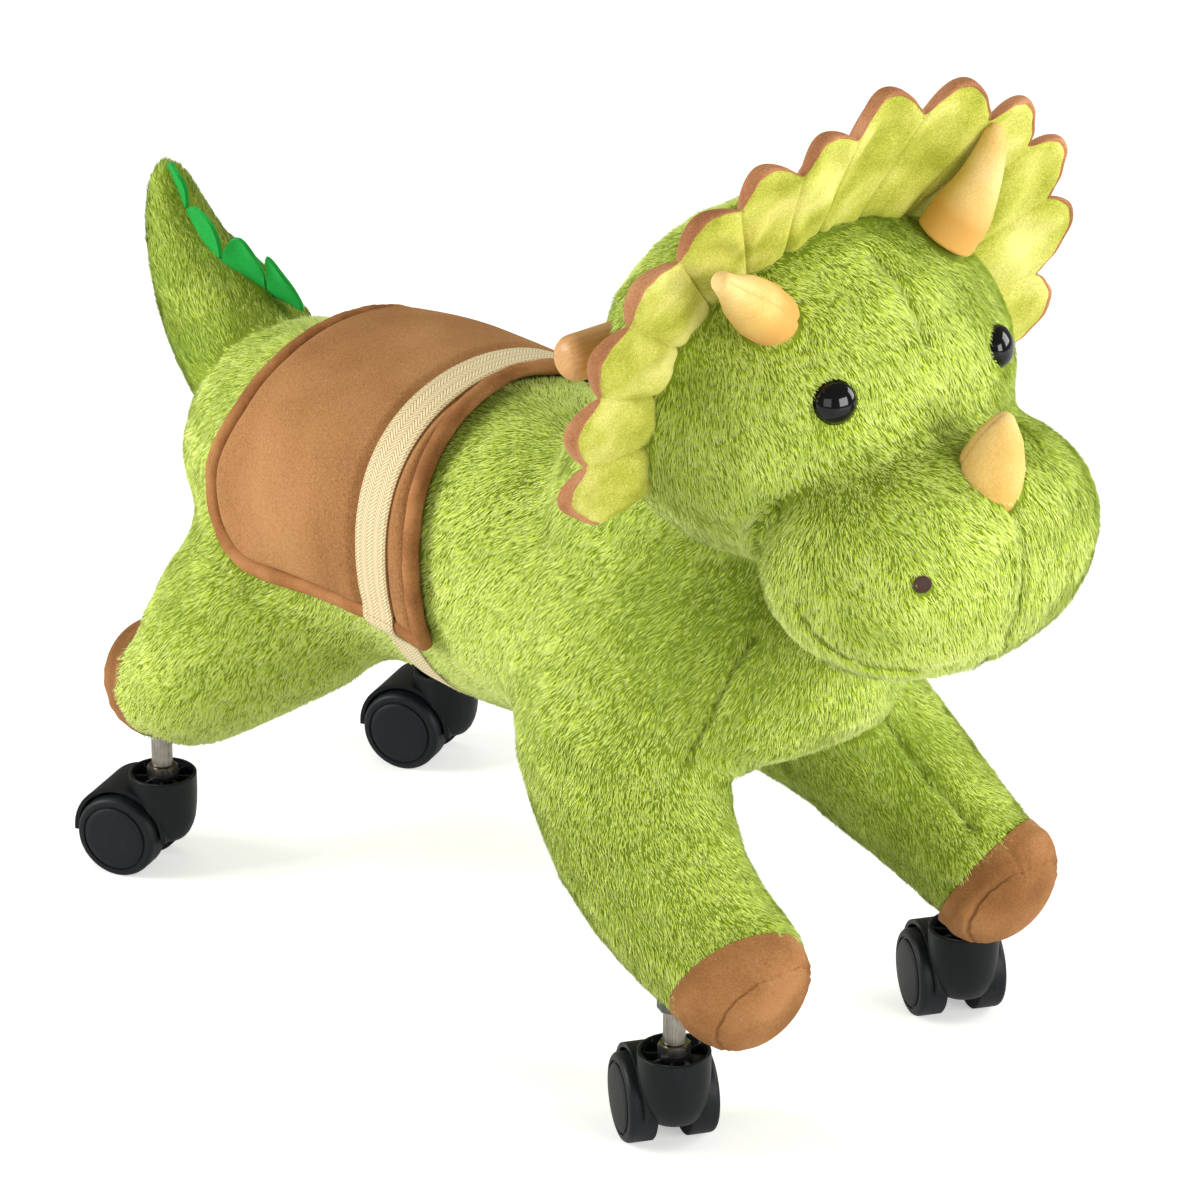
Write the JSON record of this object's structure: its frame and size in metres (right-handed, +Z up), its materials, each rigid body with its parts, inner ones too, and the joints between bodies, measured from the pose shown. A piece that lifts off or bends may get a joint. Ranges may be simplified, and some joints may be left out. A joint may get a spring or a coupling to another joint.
{
  "type": "ride-on dinosaur",
  "caption": "Plush horned dinosaur that a child sits on and pushes along, with a saddle, a wooden handle behind the neck frill and a swivelling twin-wheel caster under each foot.",
  "frame": {"origin": "on the floor, under the middle of the overall length and on the animal's own mid-plane", "axes": "-Y towards the muzzle, +X towards the animal's left side, +Z up"},
  "size_m": [0.3336, 0.7296, 0.5868],
  "materials": {
    "plush_green": "short lime-green plush pile",
    "frill_velvet": "yellow-green short velvet",
    "frill_brown_velvet": "brown short velvet",
    "hoof_velvet": "caramel brown velvet",
    "horn_velvet": "cream-yellow velvet",
    "felt_green": "saturated green felt",
    "saddle_suede": "caramel synthetic suede",
    "saddle_piping": "brown bound piping",
    "girth_webbing": "cream herringbone webbing",
    "eye_plastic": "black, polished",
    "handle_oak": "light oak, oiled",
    "frame_steel": "black coated steel tube",
    "stem_zinc": "zinc-plated steel",
    "caster_plastic": "black nylon",
    "wheel_plastic": "black nylon"
  },
  "bodies": {
    "ride_frame": {"frame_hoop_front": "frame_steel", "frame_hoop_rear": "frame_steel", "frame_spine": "frame_steel", "handle_post": "frame_steel", "handle_dowel": "handle_oak", "plush_torso": "plush_green", "plush_head": "plush_green", "plush_muzzle": "plush_green", "plush_tail": "plush_green", "felt_plate_1": "felt_green", "felt_plate_2": "felt_green", "felt_plate_3": "felt_green", "felt_plate_4": "felt_green", "horn_brow_right": "horn_velvet", "horn_brow_left": "horn_velvet", "horn_nose": "horn_velvet", "frill_front": "frill_velvet", "frill_back": "frill_brown_velvet", "eye_right": "eye_plastic", "eye_left": "eye_plastic", "saddle_pad": "saddle_suede", "saddle_piping": "saddle_piping", "girth_webbing": "girth_webbing", "plush_leg_front_left": "plush_green", "hoof_front_left": "hoof_velvet", "stem_front_left": "stem_zinc", "nut_front_left": "stem_zinc", "plush_leg_front_right": "plush_green", "hoof_front_right": "hoof_velvet", "stem_front_right": "stem_zinc", "nut_front_right": "stem_zinc", "plush_leg_rear_left": "plush_green", "hoof_rear_left": "hoof_velvet", "stem_rear_left": "stem_zinc", "nut_rear_left": "stem_zinc", "plush_leg_rear_right": "plush_green", "hoof_rear_right": "hoof_velvet", "stem_rear_right": "stem_zinc", "nut_rear_right": "stem_zinc"},
    "caster_front_left": {"caster_housing_front_left": "caster_plastic", "axle_front_left": "stem_zinc"},
    "wheel_front_left_l": {"wheel_front_left_l": "wheel_plastic"},
    "wheel_front_left_r": {"wheel_front_left_r": "wheel_plastic"},
    "caster_front_right": {"caster_housing_front_right": "caster_plastic", "axle_front_right": "stem_zinc"},
    "wheel_front_right_l": {"wheel_front_right_l": "wheel_plastic"},
    "wheel_front_right_r": {"wheel_front_right_r": "wheel_plastic"},
    "caster_rear_left": {"caster_housing_rear_left": "caster_plastic", "axle_rear_left": "stem_zinc"},
    "wheel_rear_left_l": {"wheel_rear_left_l": "wheel_plastic"},
    "wheel_rear_left_r": {"wheel_rear_left_r": "wheel_plastic"},
    "caster_rear_right": {"caster_housing_rear_right": "caster_plastic", "axle_rear_right": "stem_zinc"},
    "wheel_rear_right_l": {"wheel_rear_right_l": "wheel_plastic"},
    "wheel_rear_right_r": {"wheel_rear_right_r": "wheel_plastic"}
  },
  "joints": [
    {"name": "swivel_front_left", "type": "hinge", "parent": "ride_frame", "child": "caster_front_left", "pos_m": [0.1085, -0.21987, 0], "axis": [0, 0, 1], "continuous": true},
    {"name": "roll_front_left_l", "type": "hinge", "parent": "caster_front_left", "child": "wheel_front_left_l", "pos_m": [0.11727, -0.20189, 0.02452], "axis": [0.8988, -0.4384, 0], "continuous": true},
    {"name": "roll_front_left_r", "type": "hinge", "parent": "caster_front_left", "child": "wheel_front_left_r", "pos_m": [0.11727, -0.20189, 0.02452], "axis": [0.8988, -0.4384, 0], "continuous": true},
    {"name": "swivel_front_right", "type": "hinge", "parent": "ride_frame", "child": "caster_front_right", "pos_m": [-0.1085, -0.21987, 0], "axis": [0, 0, 1], "continuous": true},
    {"name": "roll_front_right_l", "type": "hinge", "parent": "caster_front_right", "child": "wheel_front_right_l", "pos_m": [-0.09973, -0.20189, 0.02452], "axis": [0.8988, -0.4384, 0], "continuous": true},
    {"name": "roll_front_right_r", "type": "hinge", "parent": "caster_front_right", "child": "wheel_front_right_r", "pos_m": [-0.09973, -0.20189, 0.02452], "axis": [0.8988, -0.4384, 0], "continuous": true},
    {"name": "swivel_rear_left", "type": "hinge", "parent": "ride_frame", "child": "caster_rear_left", "pos_m": [0.1085, 0.23013, 0], "axis": [0, 0, 1], "continuous": true},
    {"name": "roll_rear_left_l", "type": "hinge", "parent": "caster_rear_left", "child": "wheel_rear_left_l", "pos_m": [0.10005, 0.24826, 0.02452], "axis": [0.9063, 0.4226, 0], "continuous": true},
    {"name": "roll_rear_left_r", "type": "hinge", "parent": "caster_rear_left", "child": "wheel_rear_left_r", "pos_m": [0.10005, 0.24826, 0.02452], "axis": [0.9063, 0.4226, 0], "continuous": true},
    {"name": "swivel_rear_right", "type": "hinge", "parent": "ride_frame", "child": "caster_rear_right", "pos_m": [-0.1085, 0.23013, 0], "axis": [0, 0, 1], "continuous": true},
    {"name": "roll_rear_right_l", "type": "hinge", "parent": "caster_rear_right", "child": "wheel_rear_right_l", "pos_m": [-0.11695, 0.24826, 0.02452], "axis": [0.9063, 0.4226, 0], "continuous": true},
    {"name": "roll_rear_right_r", "type": "hinge", "parent": "caster_rear_right", "child": "wheel_rear_right_r", "pos_m": [-0.11695, 0.24826, 0.02452], "axis": [0.9063, 0.4226, 0], "continuous": true}
  ]
}
